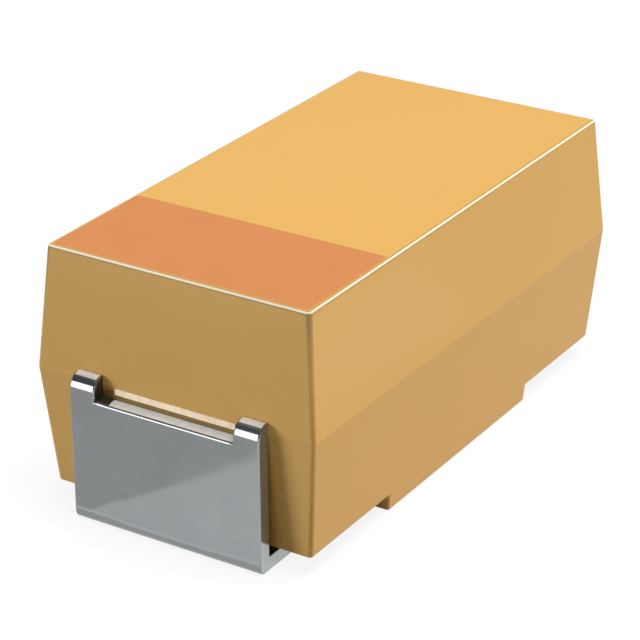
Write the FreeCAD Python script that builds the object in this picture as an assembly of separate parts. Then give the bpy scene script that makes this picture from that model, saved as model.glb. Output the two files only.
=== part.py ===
import FreeCAD, Part
import math
import os

# Moulded tantalum chip capacitor with folded sheet terminals, in millimetres.
# X runs from the anode end (-X) to the cathode end (+X), Y across the case, Z up.
# The undersides of the two feet lie in the seating plane Z = 0, and X = Y = 0 is the middle.

# Case
case_length = 5.70
case_width = 3.06
case_top = 2.64
parting_height = 1.41
draft_angle = 4.75
corner_radius = 0.045
top_edge_radius = 0.03
bottom_edge_radius = 0.03

# Stand-off block between the feet
standoff_length = 2.74
standoff_clearance = 0.005
standoff_draft = 4.0

# Polarity band, a print that fills a shallow laser-cut bed in the top face
stripe_end = -1.366
stripe_depth = 0.02
stripe_rim = 0.012

# Terminal sheet
sheet_thickness = 0.145
terminal_width = 2.09
plate_gap = 0.005
foot_length = 1.35
foot_clearance = 0.035
lead_drop = 0.045
upper_bend_radius = 0.15
lower_bend_radius = 0.08
inside_bend_radius = 0.02
shoulder_depth = 0.32

# Anode terminal: cut-out between the ears, the trimmed tongue between them, and the weld tab inside
cutout_width = 1.535
cutout_floor = 1.297
cutout_cover = 0.08
tongue_width = 1.33
tab_width = 0.9
tab_length = 0.62

# Cathode terminal: the step and the tray inside
tray_width = 1.6
tray_length = 2.6
step_inset = 0.44
step_bend_radius = 0.2

# Anode wire and its washer
wire_diameter = 0.3
wire_weld_flat = 0.03
wire_weld_length = 0.5
wire_depth = 1.4
washer_diameter = 0.8
washer_thickness = 0.12

# Pellet and its coats
pellet_length = 3.4
pellet_width = 2.1
pellet_height = 1.3
pellet_edge_radius = 0.12
wire_end_room = 1.39
electrolyte_thickness = 0.04
graphite_thickness = 0.04
silver_thickness = 0.04
graphite_margin = 0.2
silver_margin = 0.35

# Silver adhesive pad
adhesive_thickness = 0.05
adhesive_length = 1.7
adhesive_width = 1.3
adhesive_inset = 0.15

# Places that follow from the sizes
lead_bottom = parting_height - lead_drop
lead_top = lead_bottom + sheet_thickness
lead_middle = lead_bottom + sheet_thickness / 2
plate_outer = case_length / 2 + plate_gap + sheet_thickness
plate_middle = plate_outer - sheet_thickness / 2
foot_end = plate_outer - foot_length
recess_height = sheet_thickness + foot_clearance
wire_height = lead_top + wire_diameter / 2 - wire_weld_flat
pellet_start = -case_length / 2 + wire_end_room
pellet_end = pellet_start + pellet_length
tab_end = -case_length / 2 + shoulder_depth + tab_length
coat_thickness = electrolyte_thickness + graphite_thickness + silver_thickness
tray_top = wire_height - pellet_height / 2 - coat_thickness - adhesive_thickness
tray_middle = tray_top - sheet_thickness / 2
step_middle = case_length / 2 - step_inset
tray_end = step_middle - tray_length

MARGIN = 1.0


def inset(depth):
    """Distance that the drafted wall leans in over a height."""
    return depth * math.tan(math.radians(draft_angle))


def block(x_range, y_range, z_range):
    """Box between two values on each axis."""
    sizes = [r[1] - r[0] for r in (x_range, y_range, z_range)]
    corner = FreeCAD.Vector(x_range[0], y_range[0], z_range[0])
    return Part.makeBox(*sizes, corner)


def drafted_half(z_end):
    """Half of the moulding, from the parting line to one height, with rounded corners."""
    depth = abs(z_end - parting_height)
    half_x = case_length / 2
    half_y = case_width / 2
    end_x = half_x - inset(depth)
    end_y = half_y - inset(depth)
    half = Part.makeWedge(-half_x, 0, -half_y, -end_y, -end_x, half_x, depth, half_y, end_y, end_x)
    turn = 90 if z_end > parting_height else -90
    half.rotate(FreeCAD.Vector(0, 0, 0), FreeCAD.Vector(1, 0, 0), turn)
    half.translate(FreeCAD.Vector(0, 0, parting_height))
    low, high = sorted((z_end, parting_height))
    return half.makeFillet(corner_radius, edges_between(half, low, high))


def edges_between(shape, low, high):
    """Edges that start at one height and end at another."""
    found = []
    for edge in shape.Edges:
        box = edge.BoundBox
        if abs(box.ZMin - low) < 1e-6 and abs(box.ZMax - high) < 1e-6:
            found.append(edge)
    return found


def recess(side):
    """Space under one end of the case, over the foot."""
    root = side * standoff_length / 2
    rise = recess_height + MARGIN
    lean = side * rise * math.tan(math.radians(standoff_draft))
    far = side * (case_length / 2 + MARGIN)
    points = [
        FreeCAD.Vector(root, -case_width, recess_height),
        FreeCAD.Vector(root - lean, -case_width, recess_height - rise),
        FreeCAD.Vector(far, -case_width, recess_height - rise),
        FreeCAD.Vector(far, -case_width, recess_height),
    ]
    face = Part.Face(Part.makePolygon(points + points[:1]))
    return face.extrude(FreeCAD.Vector(0, 2 * case_width, 0))


def case_outside():
    """Outer form of the moulding, without its cavity."""
    upper = drafted_half(case_top)
    upper = upper.makeFillet(top_edge_radius, edges_between(upper, case_top, case_top))
    lower = drafted_half(standoff_clearance)
    lower = lower.cut(Part.makeCompound([recess(-1), recess(1)]))
    low_edges = edges_between(lower, recess_height, recess_height)
    low_edges += edges_between(lower, standoff_clearance, recess_height)
    low_edges += edges_between(lower, standoff_clearance, standoff_clearance)
    lower = lower.makeFillet(bottom_edge_radius, low_edges)
    return upper.fuse(lower).removeSplitter()


def offset_points(points, distance):
    """Line of points moved to its left by a distance, with mitred corners. Points are (x, z)."""
    moved = []
    last = len(points) - 1
    for i, point in enumerate(points):
        normals = []
        for a, b in ((i - 1, i), (i, i + 1)):
            if a < 0 or b > last:
                continue
            dx = points[b][0] - points[a][0]
            dz = points[b][1] - points[a][1]
            size = math.hypot(dx, dz)
            normals.append((-dz / size, dx / size))
        nx = sum(n[0] for n in normals)
        nz = sum(n[1] for n in normals)
        scale = distance * len(normals) / (nx * nx + nz * nz)
        moved.append((point[0] + nx * scale, point[1] + nz * scale))
    return moved


def rounded_line(points, radii):
    """Edges through the points in the XZ plane, with an arc of its own radius at each inner point."""
    vectors = [FreeCAD.Vector(x, 0, z) for x, z in points]
    edges = []
    start = vectors[0]
    for i in range(1, len(vectors) - 1):
        back = (vectors[i - 1] - vectors[i]).normalize()
        ahead = (vectors[i + 1] - vectors[i]).normalize()
        half = back.getAngle(ahead) / 2
        reach = radii[i - 1] / math.tan(half)
        first = vectors[i] + back * reach
        second = vectors[i] + ahead * reach
        middle = vectors[i] + (back + ahead).normalize() * (radii[i - 1] / math.sin(half) - radii[i - 1])
        edges.append(Part.makeLine(start, first))
        edges.append(Part.Arc(first, middle, second).toShape())
        start = second
    edges.append(Part.makeLine(start, vectors[-1]))
    return edges


def folded_sheet(path, bends, width):
    """Sheet folded along a path of (x, z) points.

    Each bend gives its outside radius and +1 where the path turns left, -1 where it turns right.
    """
    left = offset_points(path, sheet_thickness / 2)
    right = offset_points(path, -sheet_thickness / 2)
    left_radii = [inside_bend_radius if turn > 0 else radius for radius, turn in bends]
    right_radii = [radius if turn > 0 else inside_bend_radius for radius, turn in bends]
    left_edges = rounded_line(left, left_radii)
    right_edges = rounded_line(right, right_radii)
    start_cap = Part.makeLine(left_edges[0].Vertexes[0].Point, right_edges[0].Vertexes[0].Point)
    end_cap = Part.makeLine(left_edges[-1].Vertexes[-1].Point, right_edges[-1].Vertexes[-1].Point)
    outline = Part.Wire(Part.__sortEdges__(left_edges + right_edges + [start_cap, end_cap]))
    sheet = Part.Face(outline).extrude(FreeCAD.Vector(0, width, 0))
    sheet.translate(FreeCAD.Vector(0, -width / 2, 0))
    return sheet


def narrowing(side, from_x, width):
    """Two blocks that take the sides off the sheet inside the case, past its shoulder."""
    x_range = sorted((side * from_x, -side * case_length))
    z_range = (recess_height, case_top)
    reach = terminal_width
    sides = [
        block(x_range, (width / 2, reach), z_range),
        block(x_range, (-reach, -width / 2), z_range),
    ]
    return Part.makeCompound(sides)


def anode_terminal():
    """Ears, cut-out, plate and foot outside; shoulder and weld tab inside."""
    path = [
        (tab_end, lead_middle),
        (-plate_middle, lead_middle),
        (-plate_middle, sheet_thickness / 2),
        (-foot_end, sheet_thickness / 2),
    ]
    bends = [(upper_bend_radius, 1), (lower_bend_radius, 1)]
    sheet = folded_sheet(path, bends, terminal_width)
    sheet = sheet.cut(narrowing(-1, case_length / 2 - shoulder_depth, tab_width))
    return sheet.cut(cutout())


def cutout():
    """Opening between the ears.

    The lower part of the sheet is left as a tongue that ends flush with the case at the parting line.
    The rest of the sheet is trimmed back inside, where resin covers it.
    """
    half = cutout_width / 2
    outside = -plate_outer - MARGIN
    face = -case_length / 2
    covered = (outside, face + cutout_cover)
    low = (cutout_floor, parting_height)
    parts = [
        block((outside, face), (-half, half), low),
        block(covered, (-half, half), (parting_height, case_top)),
        block(covered, (-half, -tongue_width / 2), low),
        block(covered, (tongue_width / 2, half), low),
    ]
    return Part.makeCompound(parts)


def cathode_terminal():
    """Plate and foot outside; shoulder, step and tray inside."""
    path = [
        (tray_end, tray_middle),
        (step_middle, tray_middle),
        (step_middle, lead_middle),
        (plate_middle, lead_middle),
        (plate_middle, sheet_thickness / 2),
        (foot_end, sheet_thickness / 2),
    ]
    bends = [
        (step_bend_radius, 1),
        (step_bend_radius, -1),
        (upper_bend_radius, -1),
        (lower_bend_radius, -1),
    ]
    sheet = folded_sheet(path, bends, terminal_width)
    return sheet.cut(narrowing(1, case_length / 2 - shoulder_depth, tray_width))


def pellet_body(grown):
    """Pellet with rounded edges, grown all round by the coats on it."""
    x_range = (pellet_start - grown, pellet_end + grown)
    half_width = pellet_width / 2 + grown
    half_height = pellet_height / 2 + grown
    z_range = (wire_height - half_height, wire_height + half_height)
    body = block(x_range, (-half_width, half_width), z_range)
    return body.makeFillet(pellet_edge_radius + grown, body.Edges)


def coat(inner, thickness, margin):
    """Coat on the pellet that stops short of its wire end by a margin."""
    shell = pellet_body(inner + thickness).cut(pellet_body(inner))
    x_range = (pellet_start + margin, pellet_end + MARGIN)
    keep = block(x_range, (-case_width, case_width), (0, 2 * case_top))
    return shell.common(keep)


def round_bar(start, end, diameter):
    """Cylinder along X at the height of the wire."""
    base = FreeCAD.Vector(start, 0, wire_height)
    return Part.makeCylinder(diameter / 2, end - start, base, FreeCAD.Vector(1, 0, 0))


def riser_wire():
    """Wire from the weld on the tab into the pellet, flattened where it is welded."""
    wire = round_bar(tab_end - wire_weld_length, pellet_start + wire_depth, wire_diameter)
    x_range = (-case_length, tab_end)
    flat = block(x_range, (-wire_diameter, wire_diameter), (lead_bottom, lead_top))
    return wire.cut(flat)


def insulating_washer():
    """Washer on the wire, against the pellet."""
    disc = round_bar(pellet_start - washer_thickness, pellet_start, washer_diameter)
    bore = round_bar(pellet_start - washer_thickness, pellet_start, wire_diameter)
    return disc.cut(bore)


def tantalum_pellet():
    """Sintered slug with the wire's bore."""
    return pellet_body(0).cut(round_bar(pellet_start, pellet_start + wire_depth, wire_diameter))


def manganese_dioxide_layer():
    """Electrolyte coat all round the pellet, up to the washer."""
    shell = pellet_body(electrolyte_thickness).cut(pellet_body(0))
    hole = round_bar(pellet_start - washer_thickness, pellet_start, washer_diameter)
    return shell.cut(hole)


def silver_adhesive():
    """Pad between the tray and the silver coat."""
    end = pellet_end - adhesive_inset
    half = adhesive_width / 2
    z_range = (tray_top, tray_top + adhesive_thickness)
    return block((end - adhesive_length, end), (-half, half), z_range)


def polarity_stripe():
    """Print on the top face, from the anode edge."""
    lean = inset(case_top - parting_height) + top_edge_radius + stripe_rim
    half_width = case_width / 2 - lean
    start = -case_length / 2 + lean
    return block((start, stripe_end), (-half_width, half_width), (case_top - stripe_depth, case_top))


def molded_case(inside):
    """Moulding, cut by everything that it holds."""
    return case_outside().cut(Part.makeCompound(inside))


graphite = coat(electrolyte_thickness, graphite_thickness, graphite_margin)
silver = coat(electrolyte_thickness + graphite_thickness, silver_thickness, silver_margin)
held = {
    "anode_terminal": anode_terminal(),
    "cathode_terminal": cathode_terminal(),
    "riser_wire": riser_wire(),
    "insulating_washer": insulating_washer(),
    "tantalum_pellet": tantalum_pellet(),
    "manganese_dioxide_layer": manganese_dioxide_layer(),
    "graphite_layer": graphite,
    "silver_layer": silver,
    "silver_adhesive": silver_adhesive(),
    "polarity_stripe": polarity_stripe(),
}
nodes = dict(held)
nodes["molded_case"] = molded_case(list(held.values()))

os.makedirs("parts", exist_ok=True)
for name, shape in nodes.items():
    solids = shape.Solids
    print(name, "solids", len(solids), "valid", shape.isValid(), "volume", round(shape.Volume, 5))
    solid = solids[0] if len(solids) == 1 else shape
    solid.exportStep("parts/" + name + ".step")
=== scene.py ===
import math

import bmesh
import bpy
from bpy.props import FloatProperty, FloatVectorProperty, IntProperty, PointerProperty
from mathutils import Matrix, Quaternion, Vector


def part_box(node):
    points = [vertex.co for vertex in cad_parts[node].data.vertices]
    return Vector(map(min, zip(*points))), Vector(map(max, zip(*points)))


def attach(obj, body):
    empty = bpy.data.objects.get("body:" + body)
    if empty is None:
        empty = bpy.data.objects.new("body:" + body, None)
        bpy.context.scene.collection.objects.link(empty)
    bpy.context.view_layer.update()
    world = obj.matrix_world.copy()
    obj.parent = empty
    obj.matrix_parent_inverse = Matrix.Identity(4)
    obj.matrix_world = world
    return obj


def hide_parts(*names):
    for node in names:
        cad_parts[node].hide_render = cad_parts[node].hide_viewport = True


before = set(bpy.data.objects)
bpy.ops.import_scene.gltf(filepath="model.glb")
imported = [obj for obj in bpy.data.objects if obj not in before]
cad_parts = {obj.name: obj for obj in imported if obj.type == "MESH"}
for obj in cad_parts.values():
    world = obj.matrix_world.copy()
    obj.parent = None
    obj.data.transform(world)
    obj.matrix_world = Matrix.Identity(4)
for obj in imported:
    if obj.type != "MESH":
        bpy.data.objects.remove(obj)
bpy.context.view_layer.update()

bl_info = {
    "name": "Chip Tantalum Capacitor",
    "version": (1, 0, 0),
    "blender": (4, 5, 0),
    "location": "View3D > Sidebar > Capacitor",
    "description": "Dresses a moulded chip capacitor: case, polarity band and folded terminals",
    "category": "Object",
}

MM = 0.001
BODY = "root"
WHITE = (1.0, 1.0, 1.0)
BLACK = (0.0, 0.0, 0.0)

# Metres within which two places count as the same
CLOSE = 1e-8

CASE_LOW, CASE_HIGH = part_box("molded_case")
ANODE_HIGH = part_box("anode_terminal")[1]
CATHODE_LOW, CATHODE_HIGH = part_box("cathode_terminal")
BAND_LOW, BAND_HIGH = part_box("polarity_stripe")


def length(name, description, default):
    """A size in metres that the panel shows."""
    return FloatProperty(
        name=name, description=description, default=default, unit="LENGTH", precision=6
    )


def angle(name, description, degrees):
    """An angle that the panel shows in degrees."""
    return FloatProperty(
        name=name, description=description, default=math.radians(degrees), unit="ROTATION"
    )


def colour(name, description, default):
    """A colour that the panel shows, as linear values."""
    return FloatVectorProperty(
        name=name, description=description, default=default,
        size=3, subtype="COLOR", min=0.0, max=1.0,
    )


class CaseSizes(bpy.types.PropertyGroup):
    """Sizes of the moulded case."""

    case_length: length("Length", "Length at the parting line", 2 * CASE_HIGH[0])
    case_width: length("Width", "Width at the parting line", 2 * CASE_HIGH[1])
    case_top: length("Top", "Height of the top face", CASE_HIGH[2])
    standoff_bottom: length("Block bottom", "Height of the block's underside", CASE_LOW[2])
    parting_height: length("Parting height", "Height of the parting line", 1.41 * MM)
    recess_height: length("Recess height", "Height of the underside over the feet", 0.18 * MM)
    standoff_length: length("Block length", "Length of the block at its root", 2.74 * MM)
    draft: angle("Draft", "Lean of the walls", 4.75)
    standoff_draft: angle("Block draft", "Lean of the block's ends", 4.0)
    corner_radius: length("Corner radius", "Radius of the upright corners", 0.045 * MM)
    top_radius: length("Top radius", "Radius round the top face", 0.03 * MM)
    bottom_radius: length("Bottom radius", "Radius of the low edges", 0.03 * MM)
    seam_radius: length("Seam radius", "Radius along the parting line", 0.008 * MM)


class TerminalSizes(bpy.types.PropertyGroup):
    """Sizes of the folded sheet terminals."""

    width: length("Width", "Width of the plates and feet", 2 * ANODE_HIGH[1])
    plate_outer: length("Plate face", "X of the cathode plate's outer face", CATHODE_HIGH[0])
    thickness: length("Sheet thickness", "Thickness of the sheet", 0.145 * MM)
    lead_top: length("Lead top", "Height of the sheet's top in the case wall", ANODE_HIGH[2])
    foot_end: length("Foot end", "Distance from the middle to a foot's end", 1.65 * MM)
    upper_radius: length("Upper bend", "Outside radius of the upper bend", 0.15 * MM)
    lower_radius: length("Lower bend", "Outside radius of the lower bend", 0.08 * MM)
    step_radius: length("Step bend", "Outside radius of the bends in the case", 0.18 * MM)
    inside_radius: length("Inside radius", "Inside radius of every bend", 0.004 * MM)
    shoulder_depth: length("Shoulder", "How far the full width runs into the case", 0.32 * MM)
    cutout_width: length("Cut-out width", "Width of the opening between the ears", 1.535 * MM)
    cutout_floor: length("Cut-out floor", "Height of the opening's lower edge", 1.297 * MM)
    cutout_cover: length("Cut-out cover", "Resin over the tongue's upper half", 0.08 * MM)
    tongue_width: length("Tongue width", "Width of the trimmed tongue", 1.33 * MM)
    tongue_shift: length("Tongue shift", "Y of the trimmed tongue's middle", -0.033 * MM)
    tongue_proud: length("Tongue proud", "How far the tongue stands out", 0.003 * MM)
    tongue_lean: length("Tongue lean", "How much further the low edge stands out", 0.005 * MM)
    tongue_burr: length("Tongue burr", "Height of the burr under the tongue's end", 0.016 * MM)
    # Part of the cut-out's floor near the left ear that gets painted shade
    dark_length: length("Dark length", "Dark part of the cut-out's floor", 0.165 * MM)
    dark_slant: length("Dark slant", "How much shorter the dark part is inside", 0.05 * MM)
    # Sizes of the sheet of painted shade under the tongue
    tongue_shade_proud: length("Film proud", "Height of the film over the resin", 0.00075 * MM)
    tongue_shade_depth: length("Film depth", "Depth of the film in the resin", 0.012 * MM)
    tongue_shade_drop: length("Film drop", "From the parting line to the film's top", 0.03 * MM)
    tab_width: length("Tab width", "Width of the weld tab", 0.9 * MM)
    tab_end: length("Tab end", "Distance from the middle to the weld tab's end", 1.9 * MM)
    tray_width: length("Tray width", "Width of the tray under the pellet", 1.6 * MM)
    tray_end: length("Tray end", "X of the tray's free end", CATHODE_LOW[0])
    tray_top: length("Tray top", "Height of the tray's top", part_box("silver_adhesive")[0][2])
    step_middle: length("Step place", "X of the middle of the upright step", 2.4 * MM)
    edge_radius: length("Edge radius", "Rounding of the sheet's outer edges", 0.018 * MM)
    ledge_radius: length("Ledge radius", "Rounding of the cut-out's low edge", 0.021 * MM)
    bend_segments: IntProperty(
        name="Bend segments", description="Faces round each bend", default=12, min=3
    )


class BandSizes(bpy.types.PropertyGroup):
    """Sizes of the printed polarity band."""

    start: length("Start", "X of the band's anode side", BAND_LOW[0])
    end: length("End", "X of the band's inner side", BAND_HIGH[0])
    half_width: length("Half width", "Half of the band's width", BAND_HIGH[1])
    depth: length("Depth", "Depth of the band's bed", BAND_HIGH[2] - BAND_LOW[2])
    proud: length("Proud", "Height of the ink over the resin", 0.0015 * MM)
    corner: length("Corner", "Radius of the band's corners", 0.03 * MM)


class FinishColours(bpy.types.PropertyGroup):
    """Colours of the finishes and of the studio."""

    resin: colour("Resin", "Golden epoxy", (0.838, 0.476, 0.131))
    resin_dark: colour("Resin shade", "Darker flow of the epoxy", (0.816, 0.463, 0.127))
    # Painted highlight on the rounding round the top face
    edge_highlight: colour("Resin edge", "Rubbed skin along the top edges", (1.0, 0.92, 0.68))
    # Painted darker lines on the rounding beside the painted highlight
    edge_shade_line: colour("Resin rim", "Darker lines beside the rubbed skin", (0.50, 0.320, 0.115))
    # Painted shade on the resin under the tongue
    film: colour("Film", "Dark film under the tongue", (0.385, 0.235, 0.075))
    ink: colour("Ink", "Orange polarity band", (0.694, 0.264, 0.084))
    ink_thin: colour("Thin ink", "Where the ink lies thin", (0.714, 0.276, 0.091))
    tin: colour("Tin", "Bright tin plate", (0.325, 0.340, 0.345))
    tin_dull: colour("Dull tin", "Tin with rubbed bloom", (0.305, 0.320, 0.325))
    bare: colour("Trimmed end", "End of the tongue in the cut-out", (0.93, 0.765, 0.545))
    side: colour("Cut side", "Cut sides of the sheet", (0.50, 0.545, 0.53))
    # Painted shade on the inner sides of the cut-out and on the cut-out floor's end near the left
    # ear
    punched: colour("Punched side", "Inner sides of the cut-out", (0.13, 0.11, 0.075))
    sheared: colour("Sheared edge", "Punched edge of the cut-out", (0.86, 0.885, 0.88))
    # Painted highlight on the top of the upper bend
    crown: colour("Rubbed crown", "Top of the upper bend", (0.96, 0.96, 0.90))
    card: colour("Dark card", "Dark walls that reflections see", (0.14, 0.15, 0.17))
    warm_card: colour("Warm ceiling", "Ceiling that reflections see", (0.42, 0.33, 0.26))
    strip: colour("Strip light", "Lights that reflections see", WHITE)
    grey_card: colour("Grey card", "Card on the floor that reflections see", (0.72, 0.73, 0.73))
    floor: colour("Floor", "Pale studio floor", (0.965, 0.965, 0.97))


class StudioSizes(bpy.types.PropertyGroup):
    """Camera and floor."""

    camera_place: FloatVectorProperty(
        name="Camera place", description="Where the camera stands",
        default=(-19.759 * MM, -12.247 * MM, 12.107 * MM),
        size=3, subtype="TRANSLATION", precision=6,
    )
    camera_turn: angle("Camera turn", "View's heading from +X towards +Y", 32.206)
    camera_dip: angle("Camera dip", "View's angle below the horizon", 25.304)
    camera_roll: angle("Camera roll", "Tilt of the view's horizon", -0.239)
    lens: FloatProperty(
        name="Lens", description="Focal length in mm on a 36 mm sensor", default=145.34
    )
    floor_size: length("Floor size", "Side of the square floor", 1.2)


def case_sizes():
    return bpy.context.scene.capacitor_case


def terminal_sizes():
    return bpy.context.scene.capacitor_terminals


def finish_colours():
    return bpy.context.scene.capacitor_colours


# Mesh helpers


def link_mesh(name, bm, materials):
    """Turn a bmesh into an object in the scene."""
    bmesh.ops.recalc_face_normals(bm, faces=bm.faces)
    mesh = bpy.data.meshes.new(name)
    bm.to_mesh(mesh)
    bm.free()
    for material in materials:
        mesh.materials.append(material)
    piece = bpy.data.objects.new(name, mesh)
    bpy.context.scene.collection.objects.link(piece)
    return piece


def box_bmesh(low, high):
    """Box between two corners."""
    bm = bmesh.new()
    bmesh.ops.create_cube(bm, size=1.0)
    for v in bm.verts:
        v.co = [top if place > 0 else bottom for bottom, top, place in zip(low, high, v.co)]
    return bm


def smooth_edges(piece, sharp):
    """Smooth shading that stays flat on flat faces and breaks at edges over an angle."""
    piece.data.shade_smooth()
    piece.data.set_sharp_from_angle(angle=sharp)
    weighted = piece.modifiers.new("Even shading", "WEIGHTED_NORMAL")
    weighted.keep_sharp = True
    weighted.weight = 100


def weight_layer(bm):
    """Edge weights that the bevel reads."""
    return bm.edges.layers.float.new("bevel_weight_edge")


def add_weighted_bevel(piece, width, segments):
    """Round the edges that carry a weight; the rounding takes the first finish."""
    bevel = piece.modifiers.new("Rounded edges", "BEVEL")
    bevel.limit_method = "WEIGHT"
    bevel.offset_type = "OFFSET"
    bevel.width = width
    bevel.segments = segments
    bevel.profile = 0.5
    bevel.use_clamp_overlap = False
    bevel.material = 0
    bevel.miter_outer = "MITER_SHARP"


# Moulded case

CASE_SEGMENTS = 6
CASE_SHARP = math.radians(60)


def wall_inset(sizes, z):
    """How far the drafted walls stand in from the parting line at a height."""
    return abs(z - sizes.parting_height) * math.tan(sizes.draft)


def case_profile(sizes):
    """Points (x, z) round the case's lengthwise section, from the anode end of the top face."""
    block_rise = sizes.recess_height - sizes.standoff_bottom
    root = sizes.standoff_length / 2
    foot = root - block_rise * math.tan(sizes.standoff_draft)
    half = []
    for z in (sizes.case_top, sizes.parting_height, sizes.recess_height):
        half.append((sizes.case_length / 2 - wall_inset(sizes, z), z))
    half += [(root, sizes.recess_height), (foot, sizes.standoff_bottom)]
    return [(-x, z) for x, z in half] + [(x, z) for x, z in reversed(half)]


def case_edge_weight(sizes, edge):
    """Share of the corner radius that an edge of the case gets."""
    a, b = (v.co for v in edge.verts)
    level = abs(a.z - b.z) < CLOSE
    if level and abs(a.z - sizes.parting_height) < CLOSE:
        return sizes.seam_radius / sizes.corner_radius
    if level and abs(a.z - sizes.case_top) < CLOSE:
        return sizes.top_radius / sizes.corner_radius
    if max(a.z, b.z) < sizes.recess_height + CLOSE:
        return sizes.bottom_radius / sizes.corner_radius
    return 1.0


def build_case():
    """The moulding: two drafted halves, a recess over each foot and the stand-off block."""
    sizes = case_sizes()
    profile = case_profile(sizes)
    bm = bmesh.new()
    weights = weight_layer(bm)
    sides = []
    for side in (-1, 1):
        row = []
        for x, z in profile:
            y = side * (sizes.case_width / 2 - wall_inset(sizes, z))
            row.append(bm.verts.new((x, y, z)))
        sides.append(row)
    count = len(profile)
    for i in range(count):
        j = (i + 1) % count
        bm.faces.new((sides[0][i], sides[0][j], sides[1][j], sides[1][i]))
    first, last = 1, count - 2  # the parting line's points
    for row in sides:
        bm.faces.new([row[i] for i in (0, first, last, count - 1)])
        bm.faces.new(row[first:last + 1])
    for edge in bm.edges:
        edge[weights] = case_edge_weight(sizes, edge)
    piece = link_mesh("resin_case", bm, [resin_material()])
    add_weighted_bevel(piece, sizes.corner_radius, CASE_SEGMENTS)
    smooth_edges(piece, CASE_SHARP)
    return piece


# Folded sheet

# Finishes of the sheet, in the order of its materials
PLATED, TRIMMED, SHEARED, CROWN_HIGHLIGHT, PUNCHED_SHADE, SIDE = range(6)

# Runs of the anode's sheet between its cross lines, counted from the weld tab's end
TAB_RUN = 0
COVERED_RUN = 2

SHEET_SEGMENTS = 4
SHEET_SHARP = math.radians(50)
CUT_ANGLE = math.radians(60)

# Part of a normal along an axis over which a face counts as square to it
SQUARE = 0.9

# How steeply up a face of the upper bend looks where it gets the painted highlight
HIGHLIGHT_RISE = math.sin(math.radians(62))

# How near to the case's end face the corners of the tongue's end lie before they are moved
TONGUE_REACH = 0.003 * MM


def offset_line(points, distance):
    """Line of (x, z) points moved to its left, with mitred corners."""
    moved = []
    last = len(points) - 1
    for i, point in enumerate(points):
        normals = []
        for a, b in ((i - 1, i), (i, i + 1)):
            if a < 0 or b > last:
                continue
            run = Vector(points[b]) - Vector(points[a])
            run.normalize()
            normals.append(Vector((-run.y, run.x)))
        total = sum(normals, Vector((0.0, 0.0)))
        moved.append(Vector(point) + total * (distance * len(normals) / total.length_squared))
    return moved


def bend_points(before, corner, after, radius, segments):
    """Points of the arc that rounds a corner of a line."""
    back = (before - corner).normalized()
    ahead = (after - corner).normalized()
    half = back.angle(ahead) / 2
    reach = radius / math.tan(half)
    centre = corner + (back + ahead).normalized() * (radius / math.sin(half))
    start = corner + back * reach - centre
    stop = corner + ahead * reach - centre
    sweep = start.angle(stop)
    points = []
    for i in range(segments + 1):
        t = i / segments
        mix = start * math.sin((1 - t) * sweep) + stop * math.sin(t * sweep)
        points.append(centre + mix / math.sin(sweep))
    return points


def fold_stations(sizes, path, bends):
    """Pairs of (inner, outer) points along a folded sheet.

    Each bend gives its outside radius and +1 where the path turns left, -1 where it turns right.
    The outer side of the last bend is the outer side of the whole sheet.
    """
    left = offset_line(path, sizes.thickness / 2)
    right = offset_line(path, -sizes.thickness / 2)
    pairs = [(left[0], right[0])]
    for i, (radius, turn) in enumerate(bends, start=1):
        radii = (sizes.inside_radius, radius) if turn > 0 else (radius, sizes.inside_radius)
        arcs = [
            bend_points(line[i - 1], line[i], line[i + 1], bend, sizes.bend_segments)
            for line, bend in zip((left, right), radii)
        ]
        pairs += list(zip(*arcs))
    pairs.append((left[-1], right[-1]))
    if bends[-1][1] < 0:
        pairs = [(b, a) for a, b in pairs]
    return pairs


def insert_station(pairs, axis, value, window):
    """Add a cross line where both faces of the sheet reach a value of x (axis 0) or z (axis 1).

    The window says whether the run that starts at a point may be cut.
    """
    for i in range(len(pairs) - 1):
        faces = list(zip(pairs[i], pairs[i + 1]))
        crossed = all((a[axis] - value) * (b[axis] - value) < 0 for a, b in faces)
        if crossed and window(pairs[i][0]):
            new = tuple(a.lerp(b, (value - a[axis]) / (b[axis] - a[axis])) for a, b in faces)
            return pairs[: i + 1] + [new] + pairs[i + 1:]
    raise ValueError("no straight run of the sheet reaches the cross line")


# Corners of a cell on each of its six sides, by the step to the neighbour there
CELL_SIDES = {
    (-1, 0, 0): ((0, 0, 0), (0, 1, 0), (0, 1, 1), (0, 0, 1)),
    (1, 0, 0): ((1, 0, 0), (1, 1, 0), (1, 1, 1), (1, 0, 1)),
    (0, -1, 0): ((0, 0, 0), (1, 0, 0), (1, 0, 1), (0, 0, 1)),
    (0, 1, 0): ((0, 1, 0), (1, 1, 0), (1, 1, 1), (0, 1, 1)),
    (0, 0, -1): ((0, 0, 0), (1, 0, 0), (1, 1, 0), (0, 1, 0)),
    (0, 0, 1): ((0, 0, 1), (1, 0, 1), (1, 1, 1), (0, 1, 1)),
}


def sheet_bmesh(pairs, columns, layers, keep):
    """Closed mesh of the cells of a folded sheet that keep says are there.

    A cell is a run between two cross lines, a stretch between two columns and a layer. The
    vertices of the outermost side come back with the mesh.
    """
    bm = bmesh.new()
    grid = []
    for inner, outer in pairs:
        points = [inner.lerp(outer, layer) for layer in layers]
        grid.append([[bm.verts.new((p.x, y, p.y)) for p in points] for y in columns])
    cells = set()
    for i in range(len(pairs) - 1):
        for j in range(len(columns) - 1):
            for k in range(len(layers) - 1):
                if keep(i, (columns[j] + columns[j + 1]) / 2, k):
                    cells.add((i, j, k))
    outer_verts = set()
    for i, j, k in cells:
        for step, ring in CELL_SIDES.items():
            if (i + step[0], j + step[1], k + step[2]) in cells:
                continue
            verts = [grid[i + di][j + dj][k + dk] for di, dj, dk in ring]
            bm.faces.new(verts)
            if step == (0, 0, 1) and k == len(layers) - 2:
                outer_verts.update(verts)
    bmesh.ops.delete(bm, geom=[v for v in bm.verts if not v.link_faces], context="VERTS")
    return bm, outer_verts


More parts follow.
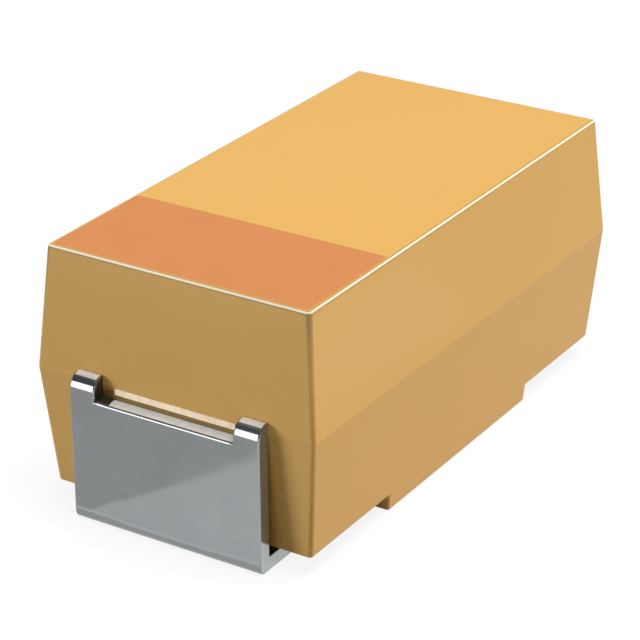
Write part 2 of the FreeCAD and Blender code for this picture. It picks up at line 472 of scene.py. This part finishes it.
def outer_finish(centre, normal):
    """Painted highlight on the top of the upper bend, cut sides, and plain plate elsewhere."""
    if abs(normal.y) > SQUARE and abs(abs(centre.y) - terminal_sizes().width / 2) < CLOSE:
        return SIDE
    outside = abs(centre.x) > case_sizes().case_length / 2
    high = centre.z > case_sizes().parting_height
    return CROWN_HIGHLIGHT if normal.z > HIGHLIGHT_RISE and outside and high else PLATED


def finish_sheet(name, bm, outer_verts, finish, on_ledge=None):
    """Weight a sheet's outer edges, the cut-out's low edge most, and make it a piece."""
    sizes = terminal_sizes()
    weights = weight_layer(bm)
    bmesh.ops.recalc_face_normals(bm, faces=bm.faces)
    bm.normal_update()
    for edge in bm.edges:
        a, b = edge.verts
        if a in outer_verts and b in outer_verts and edge.calc_face_angle(0.0) > CUT_ANGLE:
            full = on_ledge and on_ledge((a.co + b.co) / 2)
            edge[weights] = 1.0 if full else sizes.edge_radius / sizes.ledge_radius
    for face in bm.faces:
        face.material_index = finish(face)
    piece = link_mesh(name, bm, sheet_materials())
    add_weighted_bevel(piece, sizes.ledge_radius, SHEET_SEGMENTS)
    smooth_edges(piece, SHEET_SHARP)
    return piece


def build_anode_terminal():
    """Ears, cut-out, plate and foot at the anode end, with the weld tab inside the case."""
    case = case_sizes()
    sizes = terminal_sizes()
    thick = sizes.thickness
    face = case.case_length / 2
    floor = sizes.cutout_floor
    lead = sizes.lead_top - thick / 2
    plate = sizes.plate_outer - thick / 2
    path = [
        (-sizes.tab_end, lead), (-plate, lead), (-plate, thick / 2), (-sizes.foot_end, thick / 2),
    ]
    pairs = fold_stations(sizes, path, [(sizes.upper_radius, 1), (sizes.lower_radius, 1)])

    def on_lead(point):
        return point.y > case.recess_height + thick

    for depth in (sizes.shoulder_depth, sizes.cutout_cover):
        pairs = insert_station(pairs, 0, depth - face, on_lead)
    pairs = insert_station(pairs, 1, floor, lambda point: point.x < -face)
    floor_index = next(i for i, pair in enumerate(pairs) if abs(pair[0].y - floor) < CLOSE)

    tab = sizes.tab_width / 2
    cut = sizes.cutout_width / 2
    edge = sizes.width / 2
    tongue = sizes.tongue_width / 2
    shift = sizes.tongue_shift
    dark_end = cut - sizes.dark_length
    columns = [-edge, -cut, -tab, tab, cut, edge, shift - tongue, shift + tongue, dark_end]
    seam = (case.parting_height - (sizes.lead_top - thick)) / thick

    def keep(i, y, k):
        if i == TAB_RUN:
            return abs(y) < tab
        if i == COVERED_RUN and abs(y) < cut:
            return k == 0 and abs(y - shift) < tongue
        if COVERED_RUN < i < floor_index:
            return abs(y) > cut
        return True

    bm, outer = sheet_bmesh(pairs, sorted(columns), [0.0, seam, 1.0], keep)
    for v in bm.verts:
        on_floor = abs(v.co.z - floor) < CLOSE
        on_tongue = abs(v.co.y - shift) < tongue + CLOSE and v.co.z > floor + CLOSE
        if abs(v.co.x + face) < TONGUE_REACH and on_tongue:
            v.co.x = -face - sizes.tongue_proud
            if v.co.z < case.parting_height - CLOSE:
                v.co.z -= sizes.tongue_burr
                v.co.x -= sizes.tongue_lean
        elif on_floor and abs(v.co.y - dark_end) < CLOSE and v.co.x > -plate:
            v.co.y += sizes.dark_slant

    def on_ledge(point):
        return abs(point.z - floor) < CLOSE and abs(point.y) < cut

    def finish(side):
        centre = side.calc_center_median()
        normal = side.normal
        in_wall = centre.x < sizes.cutout_cover - face and centre.z > floor + CLOSE
        if in_wall and abs(centre.y - shift) < tongue:
            return TRIMMED
        # The cut-out floor's end near the left ear and the inner sides of the cut-out get painted
        # shade
        if on_ledge(centre) and abs(normal.z) > SQUARE:
            return PUNCHED_SHADE if centre.y > dark_end else SHEARED
        if abs(abs(centre.y) - cut) < CLOSE and abs(normal.y) > SQUARE:
            return PUNCHED_SHADE
        return outer_finish(centre, normal)

    return finish_sheet("anode_lead", bm, outer, finish, on_ledge)


def build_cathode_terminal():
    """Plate and foot at the cathode end, with the step and the tray inside the case."""
    case = case_sizes()
    sizes = terminal_sizes()
    thick = sizes.thickness
    lead = sizes.lead_top - thick / 2
    plate = sizes.plate_outer - thick / 2
    tray = sizes.tray_top - thick / 2
    step = sizes.step_middle
    path = [
        (sizes.tray_end, tray), (step, tray), (step, lead),
        (plate, lead), (plate, thick / 2), (sizes.foot_end, thick / 2),
    ]
    bends = [
        (sizes.step_radius, 1), (sizes.step_radius, -1),
        (sizes.upper_radius, -1), (sizes.lower_radius, -1),
    ]
    pairs = fold_stations(sizes, path, bends)
    shoulder = case.case_length / 2 - sizes.shoulder_depth

    def on_lead(point):
        return point.y > case.parting_height - thick

    pairs = insert_station(pairs, 0, shoulder, on_lead)
    shoulder_index = next(i for i, pair in enumerate(pairs) if abs(pair[0].x - shoulder) < CLOSE)
    tray_half = sizes.tray_width / 2
    edge = sizes.width / 2

    def keep(i, y, k):
        return i >= shoulder_index or abs(y) < tray_half

    def finish(side):
        return outer_finish(side.calc_center_median(), side.normal)

    bm, outer = sheet_bmesh(pairs, [-edge, -tray_half, tray_half, edge], [0.0, 1.0], keep)
    return finish_sheet("cathode_lead", bm, outer, finish)


def build_tongue_shade():
    """Thin dark sheet of painted shade on the resin under the tongue."""
    case = case_sizes()
    sizes = terminal_sizes()
    face = case.case_length / 2
    tongue_side = sizes.tongue_shift - sizes.tongue_width / 2
    low = (-face - sizes.tongue_shade_proud, tongue_side, sizes.cutout_floor)
    top = case.parting_height - sizes.tongue_shade_drop
    high = (-face + sizes.tongue_shade_depth, sizes.cutout_width / 2, top)
    return link_mesh("trim_film", box_bmesh(low, high), [tongue_shade_material()])


# Printed band

BAND_SEGMENTS = 5


def build_band():
    """The ink band, a thin layer in its bed on the top face."""
    sizes = bpy.context.scene.capacitor_band
    top = case_sizes().case_top
    bm = box_bmesh(
        (sizes.start, -sizes.half_width, top - sizes.depth),
        (sizes.end, sizes.half_width, top + sizes.proud),
    )
    upright = [e for e in bm.edges if abs(e.verts[0].co.z - e.verts[1].co.z) > CLOSE]
    bmesh.ops.bevel(
        bm, geom=upright, offset=sizes.corner, offset_type="OFFSET",
        segments=BAND_SEGMENTS, profile=0.5, affect="EDGES",
    )
    return link_mesh("polarity_band", bm, [ink_material()])


# Materials

# Values of noise between which a finish goes from one end of its range to the other
NOISE_LOW, NOISE_HIGH = 0.35, 0.65

# Slight gloss of the resin and of what lies on it
RESIN_IOR = 1.32

# Heights of the grain that the bumps give
SKIN_GRAIN = 0.0002 * MM
ROLLED_GRAIN = 0.00006 * MM

# Darkest part of a finish, as a share of its colour
TONGUE_SHADE_DARKEST = 0.8
STROKE_SHADE = 0.86

# Highest roughness of a worked finish as a share of its lowest, and how far a coat's varies
STROKE_ROUGHNESS = 1.35
COAT_ROUGHNESS = 0.07

# Sockets of the Mix node when it mixes colours
MIX_FACTOR, MIX_FIRST, MIX_SECOND, MIX_RESULT = 0, 6, 7, 2

# Where the rounding round the top face gets a painted highlight and painted darker lines beside
# it, by how far up it looks: the ends of each line and of its full part
LOW_SHADE_LINE = (0.10, 0.21, 0.38, 0.50)
EDGE_HIGHLIGHT = (0.39, 0.52, 0.84, 0.92)
HIGH_SHADE_LINE = (0.90, 0.94, 0.990, 0.999)

# Worked parts of the sheet: colour, material's name, strokes in each direction, roughness and
# how metallic it is
WORKED_FINISHES = (
    ("bare", "trimmed_end", (6.0, 30.0, 3.0), 0.3, 0.8),
    ("sheared", "sheared_edge", (30.0, 12.0, 30.0), 0.4, 0.05),
    # Painted highlight on the top of the upper bend
    ("crown", "rubbed_crown", (40.0, 2.5, 40.0), 0.3, 0.3),
    # Painted shade
    ("punched", "punched_side", (20.0, 20.0, 4.0), 0.35, 0.7),
    ("side", "cut_side", (4.0, 30.0, 4.0), 0.12, 0.72),
)

# Parts inside the case: light and dark colour, then the grain's scale, the roughness, how
# metallic it is, and the grain's height in mm
HIDDEN_FINISHES = {
    "riser_wire": ((0.46, 0.47, 0.50), (0.33, 0.34, 0.37), 14.0, 0.3, 1.0, 0.001),
    "tantalum_pellet": ((0.21, 0.22, 0.25), (0.10, 0.105, 0.12), 30.0, 0.6, 0.8, 0.008),
    "manganese_dioxide_layer": (
        (0.08, 0.07, 0.065), (0.03, 0.027, 0.025), 18.0, 0.75, 0.0, 0.006
    ),
    "graphite_layer": ((0.055, 0.055, 0.06), (0.02, 0.02, 0.022), 24.0, 0.6, 0.2, 0.004),
    "silver_layer": ((0.78, 0.77, 0.74), (0.55, 0.54, 0.52), 34.0, 0.45, 1.0, 0.003),
    "silver_adhesive": ((0.68, 0.67, 0.66), (0.42, 0.42, 0.41), 20.0, 0.5, 0.9, 0.004),
    "insulating_washer": ((0.88, 0.88, 0.86), (0.78, 0.78, 0.76), 12.0, 0.4, 0.0, 0.002),
}


def empty_tree(block, output):
    """Node tree of a material or world, emptied, and its new output node."""
    block.use_nodes = True
    tree = block.node_tree
    tree.nodes.clear()
    return tree, tree.nodes.new(output)


class Nodes:
    """Short way to add linked shader nodes."""

    def __init__(self, name):
        self.material = bpy.data.materials.get(name) or bpy.data.materials.new(name)
        self.tree, output = empty_tree(self.material, "ShaderNodeOutputMaterial")
        self.shader = self.tree.nodes.new("ShaderNodeBsdfPrincipled")
        self.link(self.shader.outputs["BSDF"], output.inputs["Surface"])

    def link(self, a, b):
        self.tree.links.new(a, b)

    def add(self, kind, **inputs):
        """Node with plain values on some of its sockets."""
        node = self.tree.nodes.new(kind)
        for key, value in inputs.items():
            node.inputs[key.replace("_", " ")].default_value = value
        return node

    def place(self, *scale):
        """Object coordinates, scaled so that one unit is a millimetre."""
        coordinates = self.add("ShaderNodeTexCoord")
        mapping = self.add("ShaderNodeMapping", Scale=[s / MM for s in scale])
        self.link(coordinates.outputs["Object"], mapping.inputs["Vector"])
        return mapping.outputs["Vector"]

    def noise(self, vector, scale, detail, roughness):
        """Noise at a place."""
        node = self.add("ShaderNodeTexNoise", Scale=scale, Detail=detail, Roughness=roughness)
        self.link(vector, node.inputs["Vector"])
        return node.outputs["Fac"]

    def ramp(self, factor, stops):
        """Colour ramp of (place, colour) stops."""
        node = self.add("ShaderNodeValToRGB")
        ramp = node.color_ramp
        while len(ramp.elements) < len(stops):
            ramp.elements.new(0.5)
        for element, (place, value) in zip(ramp.elements, stops):
            element.position = place
            element.color = (*value, 1.0)
        self.link(factor, node.inputs["Fac"])
        return node.outputs["Color"]

    def between(self, noise, dark, light):
        """Ramp from one colour to another over the range of a noise."""
        return self.ramp(noise, [(NOISE_LOW, dark), (NOISE_HIGH, light)])

    def line(self, factor, places):
        """Ramp that rises to 1 and falls again, by the four places where it turns."""
        return self.ramp(factor, list(zip(places, (BLACK, WHITE, WHITE, BLACK))))

    def blend(self, factor, first, second):
        """Mix a colour output with a plain colour."""
        node = self.tree.nodes.new("ShaderNodeMix")
        node.data_type = "RGBA"
        node.inputs[MIX_SECOND].default_value = (*second, 1.0)
        self.link(factor, node.inputs[MIX_FACTOR])
        self.link(first, node.inputs[MIX_FIRST])
        return node.outputs[MIX_RESULT]

    def rise(self):
        """How far a face looks up, from the plain surface normal."""
        geometry = self.add("ShaderNodeNewGeometry")
        split = self.add("ShaderNodeSeparateXYZ")
        self.link(geometry.outputs["Normal"], split.inputs["Vector"])
        return split.outputs["Z"]

    def spread(self, noise, low, high):
        """Value that goes from low to high over the range of a noise."""
        node = self.add(
            "ShaderNodeMapRange", From_Min=NOISE_LOW, From_Max=NOISE_HIGH, To_Min=low, To_Max=high
        )
        self.link(noise, node.inputs["Value"])
        return node.outputs["Result"]

    def bump(self, height, distance, strength):
        """Normal that a height bends."""
        node = self.add("ShaderNodeBump", Strength=strength, Distance=distance)
        self.link(height, node.inputs["Height"])
        return node.outputs["Normal"]

    def finish(self, base, roughness, normal=None, **values):
        """Link the shader's colour, roughness and normal, set its plain values, and end."""
        self.link(base, self.shader.inputs["Base Color"])
        self.link(roughness, self.shader.inputs["Roughness"])
        if normal:
            self.link(normal, self.shader.inputs["Normal"])
        for key, value in values.items():
            self.shader.inputs[key.replace("_", " ")].default_value = value
        return self.material


def resin_material():
    """Golden epoxy: faint flow shades, fine filler grain, painted highlight and shade round the
    top face.
    """
    colours = finish_colours()
    m = Nodes("golden_resin")
    place = m.place(1, 1, 1)
    flow = m.noise(place, scale=0.4, detail=3.0, roughness=0.5)
    grain = m.noise(place, scale=60.0, detail=2.0, roughness=0.6)
    base = m.ramp(flow, [(0.3, colours.resin_dark), (0.7, colours.resin)])
    rise = m.rise()
    # Painted highlight on the top face's rounding, with painted darker lines beside it, placed by
    # how far up each face looks
    lines = (
        (LOW_SHADE_LINE, colours.edge_shade_line), (HIGH_SHADE_LINE, colours.edge_shade_line),
        (EDGE_HIGHLIGHT, colours.edge_highlight),
    )
    for places, shade in lines:
        base = m.blend(m.line(rise, places), base, shade)
    normal = m.bump(grain, SKIN_GRAIN, strength=0.3)
    return m.finish(
        base, m.spread(grain, 0.17, 0.22), normal, IOR=RESIN_IOR, Specular_IOR_Level=0.18
    )


def tongue_shade_material():
    """Painted shade on the resin under the tongue, streaked along the edge."""
    colours = finish_colours()
    m = Nodes("trim_film")
    streaks = m.noise(m.place(9.0, 3.0, 40.0), scale=1.0, detail=3.0, roughness=0.6)
    base = m.between(streaks, [c * TONGUE_SHADE_DARKEST for c in colours.film], colours.film)
    return m.finish(base, m.spread(streaks, 0.4, 0.55), IOR=RESIN_IOR, Specular_IOR_Level=0.25)


def ink_material():
    """Orange ink layer, a little uneven, with the grain of the resin under it."""
    colours = finish_colours()
    m = Nodes("orange_ink")
    place = m.place(1, 1, 1)
    patches = m.noise(place, scale=3.0, detail=4.0, roughness=0.6)
    grain = m.noise(place, scale=45.0, detail=2.0, roughness=0.6)
    base = m.between(patches, colours.ink, colours.ink_thin)
    normal = m.bump(grain, SKIN_GRAIN, strength=0.04)
    return m.finish(
        base, m.spread(grain, 0.28, 0.32), normal, IOR=RESIN_IOR, Specular_IOR_Level=0.25
    )


def tin_material():
    """Bright tin plate with a faint rolled grain and soft bloom."""
    colours = finish_colours()
    m = Nodes("bright_tin")
    bloom = m.noise(m.place(1, 1, 1), scale=1.6, detail=4.0, roughness=0.55)
    lines = m.noise(m.place(26.0, 1.2, 26.0), scale=1.0, detail=2.0, roughness=0.5)
    base = m.between(bloom, colours.tin_dull, colours.tin)
    normal = m.bump(lines, ROLLED_GRAIN, strength=0.3)
    return m.finish(base, m.spread(bloom, 0.10, 0.15), normal, Metallic=1.0)


def worked_metal(light, name, stretch, roughness, metallic):
    """Sheet that a tool has cut or rubbed, with the fine strokes that it leaves."""
    m = Nodes(name)
    strokes = m.noise(m.place(*stretch), scale=1.0, detail=3.0, roughness=0.6)
    base = m.between(strokes, [c * STROKE_SHADE for c in light], light)
    normal = m.bump(strokes, SKIN_GRAIN, strength=0.2)
    roughness = m.spread(strokes, roughness, roughness * STROKE_ROUGHNESS)
    return m.finish(base, roughness, normal, Metallic=metallic)


def sheet_materials():
    """Finishes of the sheet: plated, then the worked ones."""
    colours = finish_colours()
    worked = [worked_metal(getattr(colours, key), *rest) for key, *rest in WORKED_FINISHES]
    return [tin_material()] + worked


def grainy_material(name, light, dark, scale, roughness, metallic, height):
    """Matt or metallic coat with its own grain, for the parts inside the case."""
    m = Nodes(name)
    grain = m.noise(m.place(1, 1, 1), scale, detail=4.0, roughness=0.65)
    roughness = m.spread(grain, roughness - COAT_ROUGHNESS, roughness + COAT_ROUGHNESS)
    normal = m.bump(grain, height * MM, strength=0.8)
    return m.finish(m.between(grain, dark, light), roughness, normal, Metallic=metallic)


# Studio

LAMP_DISTANCE = 0.25
SKY_DISTANCE = 0.08

# Width of the camera's sensor in mm
SENSOR = 36.0

# Strength of the world as a light
AMBIENT = 0.08

# The floor as a source of bounced light; to the eye, its own glow and how much lamps add to it
FLOOR_BOUNCE = 0.35
FLOOR_GLOW = 0.90
FLOOR_GAIN = 1.6

# Lamps: name, heading and height in degrees, spread across and up in degrees, radiance, tint
LAMPS = (
    ("top_lamp", 285, 78, 30, 30, 8.85, WHITE),
    ("right_lamp", -51, 15, 34, 28, 5.35, WHITE),
    ("left_lamp", 132, 6, 22, 11, 20.8, (0.885, 1.0, 1.25)),
    ("back_lamp", 45, 20, 40, 40, 2.7, WHITE),
)

# Rings of card round the part: name, heights of the rows in degrees, colour
SKY_CARDS = (
    ("dark_ceiling", (34, 44, 54), "card"),
    ("warm_ceiling", (54, 63, 72, 81, 90), "warm_card"),
    ("dark_wall", (9, 22, 34), "card"),
)

# Flat cards: name, rows of their corners in mm, colour, strength
FLAT_CARDS = (
    (
        "strip_light",
        (((-8.0, 0.8, 0.7), (-8.0, 5.2, 0.7)), ((-8.0, 0.8, 4.9), (-8.0, 5.2, 4.9))),
        "strip", 3.8,
    ),
    # Painted shade on the floor before the plate, seen only in reflections
    (
        "grey_card",
        (
            ((7.775, 5.881, 0.002), (-14.137, -3.911, 0.002)),
            ((-4.465, 33.271, 0.002), (-26.377, 23.479, 0.002)),
        ),
        "grey_card", 1.0,
    ),
    (
        # Painted pool of light on the floor beside the case, seen only in reflections
        "side_card",
        (
            ((-1.5, -3.75, 0.002), (3.5, -3.75, 0.002)),
            ((-1.5, -5.9, 0.002), (5.75, -5.9, 0.002)),
        ),
        "strip", 1.9,
    ),
    (
        "foot_shade",
        (
            ((-3.0, -1.3, 0.003), (-3.0, 2.6, 0.003)),
            ((-3.14, -1.3, 0.003), (-3.14, 2.6, 0.003)),
        ),
        "floor", 0.80,
    ),
    # Painted bright line on the floor before the foot, seen only in reflections
    (
        "foot_line",
        (
            ((-3.14, -1.3, 0.003), (-3.14, 2.6, 0.003)),
            ((-3.165, -1.3, 0.003), (-3.165, 2.6, 0.003)),
        ),
        "floor", 1.25,
    ),
)


def toward(turn, rise):
    """Unit vector by its heading from +X towards +Y and its height over the horizon."""
    flat = math.cos(rise)
    return Vector((flat * math.cos(turn), flat * math.sin(turn), math.sin(rise)))


def plain_shader(tree, kind, shade, strength=None):
    """Output of a shader node with a plain colour."""
    node = tree.nodes.new(kind)
    node.inputs["Color"].default_value = (*shade, 1)
    if strength is not None:
        node.inputs["Strength"].default_value = strength
    return node.outputs[0]


def link_by_path(tree, output, light, seen):
    """Show one shader to camera, glossy and transmission rays, and light with the other."""
    path = tree.nodes.new("ShaderNodeLightPath")
    total = path.outputs["Is Camera Ray"]
    for name in ("Is Glossy Ray", "Is Transmission Ray"):
        largest = tree.nodes.new("ShaderNodeMath")
        largest.operation = "MAXIMUM"
        tree.links.new(total, largest.inputs[0])
        tree.links.new(path.outputs[name], largest.inputs[1])
        total = largest.outputs[0]
    mix = tree.nodes.new("ShaderNodeMixShader")
    tree.links.new(total, mix.inputs["Fac"])
    tree.links.new(light, mix.inputs[1])
    tree.links.new(seen, mix.inputs[2])
    tree.links.new(mix.outputs[0], output.inputs["Surface"])


def build_world():
    """White to the eye and in reflections, soft grey as light."""
    world = bpy.data.worlds.new("studio")
    bpy.context.scene.world = world
    tree, output = empty_tree(world, "ShaderNodeOutputWorld")
    light = plain_shader(tree, "ShaderNodeBackground", WHITE, AMBIENT)
    seen = plain_shader(tree, "ShaderNodeBackground", WHITE, 1.0)
    link_by_path(tree, output, light, seen)


def floor_material():
    """White to the eye with the part's soft shadow, dimmer as a source of bounced light."""
    colours = finish_colours()
    material = bpy.data.materials.new("pale_floor")
    tree, output = empty_tree(material, "ShaderNodeOutputMaterial")
    light = plain_shader(tree, "ShaderNodeBsdfDiffuse", [FLOOR_BOUNCE] * 3)
    lit = [c * (1 - FLOOR_GLOW) * FLOOR_GAIN for c in colours.floor]
    seen = tree.nodes.new("ShaderNodeAddShader")
    glow = plain_shader(tree, "ShaderNodeEmission", colours.floor, FLOOR_GLOW)
    tree.links.new(glow, seen.inputs[0])
    tree.links.new(plain_shader(tree, "ShaderNodeBsdfDiffuse", lit), seen.inputs[1])
    link_by_path(tree, output, light, seen.outputs[0])
    return material


def build_floor():
    """Flat square floor under the feet."""
    half = bpy.context.scene.capacitor_studio.floor_size / 2
    bm = bmesh.new()
    corners = ((-half, -half), (half, -half), (half, half), (-half, half))
    bm.faces.new([bm.verts.new((x, y, 0.0)) for x, y in corners])
    floor = link_mesh("floor", bm, [floor_material()])


def reflection_card(name, rows, shade, strength=1.0):
    """Card that only reflections see, by rows of points in metres."""
    material = bpy.data.materials.new(name)
    tree, output = empty_tree(material, "ShaderNodeOutputMaterial")
    glow = plain_shader(tree, "ShaderNodeEmission", shade, strength)
    tree.links.new(glow, output.inputs["Surface"])
    bm = bmesh.new()
    lines = [[bm.verts.new(point) for point in row] for row in rows]
    for low, high in zip(lines, lines[1:]):
        for i in range(len(low) - 1):
            bm.faces.new((low[i], low[i + 1], high[i + 1], high[i]))
    card = link_mesh(name, bm, [material])
    card.visible_camera = False
    card.visible_diffuse = False
    card.visible_shadow = False
    card.visible_transmission = False


def build_cards():
    """What the gloss sees: dark walls and ceiling, a strip light, and floor cards of painted
    shade and light.
    """
    colours = finish_colours()
    headings = [math.radians(heading) for heading in range(0, 361, 10)]
    for name, heights, shade in SKY_CARDS:
        rises = [math.radians(height) for height in heights]
        rows = [[toward(turn, rise) * SKY_DISTANCE for turn in headings] for rise in rises]
        reflection_card(name, rows, getattr(colours, shade))
    for name, corners, shade, strength in FLAT_CARDS:
        rows = [[Vector(corner) * MM for corner in row] for row in corners]
        reflection_card(name, rows, getattr(colours, shade), strength)


def lamp(name, heading, height, across, up, radiance, tint):
    """Soft rectangular lamp that looks at the part, hidden from reflections."""
    direction = toward(math.radians(heading), math.radians(height))
    data = bpy.data.lights.new(name, "AREA")
    data.shape = "RECTANGLE"
    data.size = 2 * LAMP_DISTANCE * math.tan(math.radians(across / 2))
    data.size_y = 2 * LAMP_DISTANCE * math.tan(math.radians(up / 2))
    data.energy = radiance * math.pi * data.size * data.size_y
    data.color = tint
    piece = bpy.data.objects.new(name, data)
    piece.location = direction * LAMP_DISTANCE + Vector((0, 0, CASE_HIGH[2] / 2))
    piece.rotation_euler = (-direction).to_track_quat("-Z", "Y").to_euler()
    piece.visible_glossy = False
    bpy.context.scene.collection.objects.link(piece)


def build_camera():
    """Long lens that looks down on the anode end, as in the product view."""
    sizes = bpy.context.scene.capacitor_studio
    data = bpy.data.cameras.new("camera")
    data.lens = sizes.lens
    data.sensor_width = SENSOR
    data.clip_start = 0.0005
    data.clip_end = 10.0
    camera = bpy.data.objects.new("camera", data)
    camera.location = sizes.camera_place
    view = toward(sizes.camera_turn, -sizes.camera_dip)
    roll = Quaternion((0, 0, 1), sizes.camera_roll)
    camera.rotation_euler = (view.to_track_quat("-Z", "Y") @ roll).to_euler()
    bpy.context.scene.collection.objects.link(camera)
    bpy.context.scene.camera = camera


# Operators


class CAPACITOR_OT_case(bpy.types.Operator):
    """Build the moulded resin case"""

    bl_idname = "capacitor.case"
    bl_label = "Moulded case"

    def execute(self, context):
        piece = build_case()
        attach(piece, BODY)
        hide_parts("molded_case")
        return {"FINISHED"}


class CAPACITOR_OT_band(bpy.types.Operator):
    """Print the polarity band on the top face"""

    bl_idname = "capacitor.band"
    bl_label = "Polarity band"

    def execute(self, context):
        piece = build_band()
        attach(piece, BODY)
        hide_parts("polarity_stripe")
        return {"FINISHED"}


class CAPACITOR_OT_terminals(bpy.types.Operator):
    """Fold the anode and cathode terminals"""

    bl_idname = "capacitor.terminals"
    bl_label = "Terminals"

    def execute(self, context):
        builders = {
            "anode_terminal": build_anode_terminal,
            "cathode_terminal": build_cathode_terminal,
        }
        for node, build in builders.items():
            piece = build()
            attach(piece, BODY)
            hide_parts(node)
        return {"FINISHED"}


class CAPACITOR_OT_tongue_shade(bpy.types.Operator):
    """Lay the dark sheet of painted shade on the resin under the trimmed tongue"""

    bl_idname = "capacitor.film"
    bl_label = "Trimming film"

    def execute(self, context):
        film = build_tongue_shade()
        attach(film, BODY)
        return {"FINISHED"}


class CAPACITOR_OT_inside(bpy.types.Operator):
    """Finish the wire, washer, pellet and coats inside the case"""

    bl_idname = "capacitor.inside"
    bl_label = "Parts inside"

    def execute(self, context):
        for node, finish in HIDDEN_FINISHES.items():
            material = grainy_material(node + "_finish", *finish)
            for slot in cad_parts[node].material_slots:
                slot.material = material
        return {"FINISHED"}


class CAPACITOR_OT_studio(bpy.types.Operator):
    """Set up the floor, lamps, world and camera"""

    bl_idname = "capacitor.studio"
    bl_label = "Studio"

    def execute(self, context):
        context.scene.view_settings.view_transform = "Standard"
        build_world()
        build_floor()
        build_cards()
        for values in LAMPS:
            lamp(*values)
        build_camera()
        return {"FINISHED"}


class CAPACITOR_PT_panel(bpy.types.Panel):
    """Sidebar panel with the capacitor's pieces and sizes"""

    bl_idname = "CAPACITOR_PT_panel"
    bl_label = "Chip capacitor"
    bl_space_type = "VIEW_3D"
    bl_region_type = "UI"
    bl_category = "Capacitor"

    def draw(self, context):
        layout = self.layout
        for operator in OPERATORS:
            layout.operator(operator.bl_idname)
        for name in GROUPS:
            box = layout.box()
            group = getattr(context.scene, name)
            for key in group.bl_rna.properties.keys():
                if key not in ("rna_type", "name"):
                    box.prop(group, key)


GROUPS = {
    "capacitor_case": CaseSizes,
    "capacitor_terminals": TerminalSizes,
    "capacitor_band": BandSizes,
    "capacitor_colours": FinishColours,
    "capacitor_studio": StudioSizes,
}
OPERATORS = (
    CAPACITOR_OT_case,
    CAPACITOR_OT_band,
    CAPACITOR_OT_terminals,
    CAPACITOR_OT_tongue_shade,
    CAPACITOR_OT_inside,
    CAPACITOR_OT_studio,
)


def register():
    for group in GROUPS.values():
        bpy.utils.register_class(group)
    for name, group in GROUPS.items():
        setattr(bpy.types.Scene, name, PointerProperty(type=group))
    for operator in OPERATORS:
        bpy.utils.register_class(operator)
    bpy.utils.register_class(CAPACITOR_PT_panel)


def unregister():
    bpy.utils.unregister_class(CAPACITOR_PT_panel)
    for operator in reversed(OPERATORS):
        bpy.utils.unregister_class(operator)
    for name in GROUPS:
        delattr(bpy.types.Scene, name)
    for group in reversed(list(GROUPS.values())):
        bpy.utils.unregister_class(group)


def main():
    """Register the panel and its sizes, and build every piece and the studio."""
    register()
    bpy.ops.capacitor.case()
    bpy.ops.capacitor.band()
    bpy.ops.capacitor.terminals()
    bpy.ops.capacitor.film()
    bpy.ops.capacitor.inside()
    bpy.ops.capacitor.studio()


if __name__ == "__main__":
    main()
